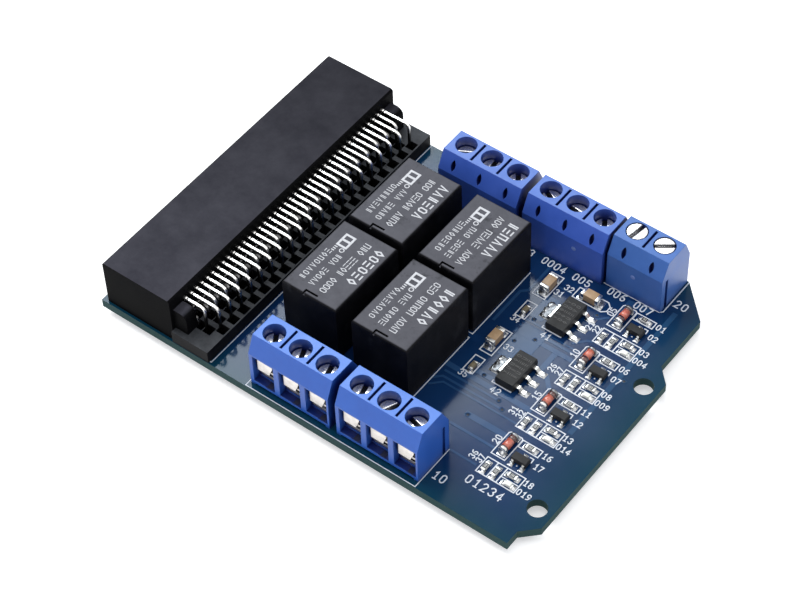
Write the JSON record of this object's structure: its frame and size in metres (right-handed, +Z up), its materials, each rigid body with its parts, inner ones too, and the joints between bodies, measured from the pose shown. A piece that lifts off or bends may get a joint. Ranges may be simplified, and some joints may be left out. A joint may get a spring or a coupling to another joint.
{
  "type": "relay module board",
  "caption": "Circuit board module with sealed relays, blue rising-clamp screw terminals, power regulators and a right-angle card-edge socket along one end.",
  "frame": {"origin": "centre of the board's outline in plan, level with the tips of the leads below it", "axes": "+X along the board from the edge connector to the tongue with the mounting holes, +Y across it towards the row with the power terminal, +Z up out of the component side"},
  "size_m": [0.0808, 0.0572, 0.0148],
  "materials": {
    "board": "blue solder mask on glass laminate",
    "black_moulding": "fine moulded matte",
    "guide_moulding": "fine moulded matte",
    "tinned": "bright tin plate",
    "relay_shell": "fine sandblasted matte",
    "relay_floor": "plain",
    "blue_moulding": "semi-gloss moulding",
    "frame_metal": "tin plate",
    "clamp_plate": "nickel plate, stamped",
    "screw_metal": "nickel plate",
    "package": "moulded epoxy with tinned leads",
    "glass_red": "tinted glass with tinned end caps",
    "chip_black": "glazed film on white ceramic, tinned ends",
    "chip_tan": "sintered ceramic, tinned ends",
    "led_lens": "clear resin over a white carrier"
  },
  "bodies": {
    "board": {"pcb": "board", "edge_connector_housing": "black_moulding", "pin_guide": "guide_moulding", "contacts_upper_short": "tinned", "contacts_upper_long": "tinned", "contacts_lower_short": "tinned", "contacts_lower_long": "tinned", "relay_case_1": "relay_shell", "relay_case_2": "relay_shell", "relay_case_3": "relay_shell", "relay_case_4": "relay_shell", "relay_base_1": "relay_floor", "relay_base_2": "relay_floor", "relay_base_3": "relay_floor", "relay_base_4": "relay_floor", "relay_pins": "tinned", "terminal_body_1": "blue_moulding", "terminal_body_2": "blue_moulding", "terminal_body_3": "blue_moulding", "terminal_body_4": "blue_moulding", "terminal_body_5": "blue_moulding", "terminal_frames_1": "frame_metal", "terminal_frames_2": "frame_metal", "terminal_frames_3": "frame_metal", "terminal_frames_4": "frame_metal", "terminal_frames_5": "frame_metal", "regulators": "package", "transistors": "package", "diodes": "glass_red", "resistors": "chip_black", "capacitors": "chip_tan", "leds": "led_lens"},
    "wire_clamp_1": {"wire_clamp_1": "clamp_plate"},
    "clamp_screw_1": {"clamp_screw_1": "screw_metal"},
    "wire_clamp_2": {"wire_clamp_2": "clamp_plate"},
    "clamp_screw_2": {"clamp_screw_2": "screw_metal"},
    "wire_clamp_3": {"wire_clamp_3": "clamp_plate"},
    "clamp_screw_3": {"clamp_screw_3": "screw_metal"},
    "wire_clamp_4": {"wire_clamp_4": "clamp_plate"},
    "clamp_screw_4": {"clamp_screw_4": "screw_metal"},
    "wire_clamp_5": {"wire_clamp_5": "clamp_plate"},
    "clamp_screw_5": {"clamp_screw_5": "screw_metal"},
    "wire_clamp_6": {"wire_clamp_6": "clamp_plate"},
    "clamp_screw_6": {"clamp_screw_6": "screw_metal"},
    "wire_clamp_7": {"wire_clamp_7": "clamp_plate"},
    "clamp_screw_7": {"clamp_screw_7": "screw_metal"},
    "wire_clamp_8": {"wire_clamp_8": "clamp_plate"},
    "clamp_screw_8": {"clamp_screw_8": "screw_metal"},
    "wire_clamp_9": {"wire_clamp_9": "clamp_plate"},
    "clamp_screw_9": {"clamp_screw_9": "screw_metal"},
    "wire_clamp_10": {"wire_clamp_10": "clamp_plate"},
    "clamp_screw_10": {"clamp_screw_10": "screw_metal"},
    "wire_clamp_11": {"wire_clamp_11": "clamp_plate"},
    "clamp_screw_11": {"clamp_screw_11": "screw_metal"},
    "wire_clamp_12": {"wire_clamp_12": "clamp_plate"},
    "clamp_screw_12": {"clamp_screw_12": "screw_metal"},
    "wire_clamp_13": {"wire_clamp_13": "clamp_plate"},
    "clamp_screw_13": {"clamp_screw_13": "screw_metal"},
    "wire_clamp_14": {"wire_clamp_14": "clamp_plate"},
    "clamp_screw_14": {"clamp_screw_14": "screw_metal"}
  },
  "joints": [
    {"name": "clamp_1_travel", "type": "slide", "parent": "board", "child": "wire_clamp_1", "axis": [0, 0, 1], "range_m": [-0.00075, 0.0019]},
    {"name": "screw_1_turn", "type": "hinge", "parent": "wire_clamp_1", "child": "clamp_screw_1", "pos_m": [-0.008, 0.02423, 0.0111], "axis": [0, 0, 1], "range_deg": [-605, 1530]},
    {"name": "clamp_2_travel", "type": "slide", "parent": "board", "child": "wire_clamp_2", "axis": [0, 0, 1], "range_m": [-0.00075, 0.0019]},
    {"name": "screw_2_turn", "type": "hinge", "parent": "wire_clamp_2", "child": "clamp_screw_2", "pos_m": [-0.00292, 0.02423, 0.0111], "axis": [0, 0, 1], "range_deg": [-605, 1530]},
    {"name": "clamp_3_travel", "type": "slide", "parent": "board", "child": "wire_clamp_3", "axis": [0, 0, 1], "range_m": [-0.00075, 0.0019]},
    {"name": "screw_3_turn", "type": "hinge", "parent": "wire_clamp_3", "child": "clamp_screw_3", "pos_m": [0.00216, 0.02423, 0.0111], "axis": [0, 0, 1], "range_deg": [-605, 1530]},
    {"name": "clamp_4_travel", "type": "slide", "parent": "board", "child": "wire_clamp_4", "axis": [0, 0, 1], "range_m": [-0.00075, 0.0019]},
    {"name": "screw_4_turn", "type": "hinge", "parent": "wire_clamp_4", "child": "clamp_screw_4", "pos_m": [0.0085, 0.02423, 0.0111], "axis": [0, 0, 1], "range_deg": [-605, 1530]},
    {"name": "clamp_5_travel", "type": "slide", "parent": "board", "child": "wire_clamp_5", "axis": [0, 0, 1], "range_m": [-0.00075, 0.0019]},
    {"name": "screw_5_turn", "type": "hinge", "parent": "wire_clamp_5", "child": "clamp_screw_5", "pos_m": [0.01358, 0.02423, 0.0111], "axis": [0, 0, 1], "range_deg": [-605, 1530]},
    {"name": "clamp_6_travel", "type": "slide", "parent": "board", "child": "wire_clamp_6", "axis": [0, 0, 1], "range_m": [-0.00075, 0.0019]},
    {"name": "screw_6_turn", "type": "hinge", "parent": "wire_clamp_6", "child": "clamp_screw_6", "pos_m": [0.01866, 0.02423, 0.0111], "axis": [0, 0, 1], "range_deg": [-605, 1530]},
    {"name": "clamp_7_travel", "type": "slide", "parent": "board", "child": "wire_clamp_7", "axis": [0, 0, 1], "range_m": [-0.00075, 0.0019]},
    {"name": "screw_7_turn", "type": "hinge", "parent": "wire_clamp_7", "child": "clamp_screw_7", "pos_m": [-0.0083, -0.02397, 0.0111], "axis": [0, 0, 1], "range_deg": [-605, 1530]},
    {"name": "clamp_8_travel", "type": "slide", "parent": "board", "child": "wire_clamp_8", "axis": [0, 0, 1], "range_m": [-0.00075, 0.0019]},
    {"name": "screw_8_turn", "type": "hinge", "parent": "wire_clamp_8", "child": "clamp_screw_8", "pos_m": [-0.00322, -0.02397, 0.0111], "axis": [0, 0, 1], "range_deg": [-605, 1530]},
    {"name": "clamp_9_travel", "type": "slide", "parent": "board", "child": "wire_clamp_9", "axis": [0, 0, 1], "range_m": [-0.00075, 0.0019]},
    {"name": "screw_9_turn", "type": "hinge", "parent": "wire_clamp_9", "child": "clamp_screw_9", "pos_m": [0.00186, -0.02397, 0.0111], "axis": [0, 0, 1], "range_deg": [-605, 1530]},
    {"name": "clamp_10_travel", "type": "slide", "parent": "board", "child": "wire_clamp_10", "axis": [0, 0, 1], "range_m": [-0.00075, 0.0019]},
    {"name": "screw_10_turn", "type": "hinge", "parent": "wire_clamp_10", "child": "clamp_screw_10", "pos_m": [0.0083, -0.02397, 0.0111], "axis": [0, 0, 1], "range_deg": [-605, 1530]},
    {"name": "clamp_11_travel", "type": "slide", "parent": "board", "child": "wire_clamp_11", "axis": [0, 0, 1], "range_m": [-0.00075, 0.0019]},
    {"name": "screw_11_turn", "type": "hinge", "parent": "wire_clamp_11", "child": "clamp_screw_11", "pos_m": [0.01338, -0.02397, 0.0111], "axis": [0, 0, 1], "range_deg": [-605, 1530]},
    {"name": "clamp_12_travel", "type": "slide", "parent": "board", "child": "wire_clamp_12", "axis": [0, 0, 1], "range_m": [-0.00075, 0.0019]},
    {"name": "screw_12_turn", "type": "hinge", "parent": "wire_clamp_12", "child": "clamp_screw_12", "pos_m": [0.01846, -0.02397, 0.0111], "axis": [0, 0, 1], "range_deg": [-605, 1530]},
    {"name": "clamp_13_travel", "type": "slide", "parent": "board", "child": "wire_clamp_13", "axis": [0, 0, 1], "range_m": [-0.00266, 0]},
    {"name": "screw_13_turn", "type": "hinge", "parent": "wire_clamp_13", "child": "clamp_screw_13", "pos_m": [0.02426, 0.02482, 0.0111], "axis": [0, 0, 1], "range_deg": [-2135, 0]},
    {"name": "clamp_14_travel", "type": "slide", "parent": "board", "child": "wire_clamp_14", "axis": [0, 0, 1], "range_m": [-0.00266, 0]},
    {"name": "screw_14_turn", "type": "hinge", "parent": "wire_clamp_14", "child": "clamp_screw_14", "pos_m": [0.02934, 0.02482, 0.0111], "axis": [0, 0, 1], "range_deg": [-2135, 0]}
  ],
  "couplings": [
    {"joint": "screw_1_turn", "follows": "clamp_1_travel", "rad_per_m": 13963},
    {"joint": "screw_2_turn", "follows": "clamp_2_travel", "rad_per_m": 13963},
    {"joint": "screw_3_turn", "follows": "clamp_3_travel", "rad_per_m": 13963},
    {"joint": "screw_4_turn", "follows": "clamp_4_travel", "rad_per_m": 13963},
    {"joint": "screw_5_turn", "follows": "clamp_5_travel", "rad_per_m": 13963},
    {"joint": "screw_6_turn", "follows": "clamp_6_travel", "rad_per_m": 13963},
    {"joint": "screw_7_turn", "follows": "clamp_7_travel", "rad_per_m": 13963},
    {"joint": "screw_8_turn", "follows": "clamp_8_travel", "rad_per_m": 13963},
    {"joint": "screw_9_turn", "follows": "clamp_9_travel", "rad_per_m": 13963},
    {"joint": "screw_10_turn", "follows": "clamp_10_travel", "rad_per_m": 13963},
    {"joint": "screw_11_turn", "follows": "clamp_11_travel", "rad_per_m": 13963},
    {"joint": "screw_12_turn", "follows": "clamp_12_travel", "rad_per_m": 13963},
    {"joint": "screw_13_turn", "follows": "clamp_13_travel", "rad_per_m": 13963},
    {"joint": "screw_14_turn", "follows": "clamp_14_travel", "rad_per_m": 13963}
  ]
}
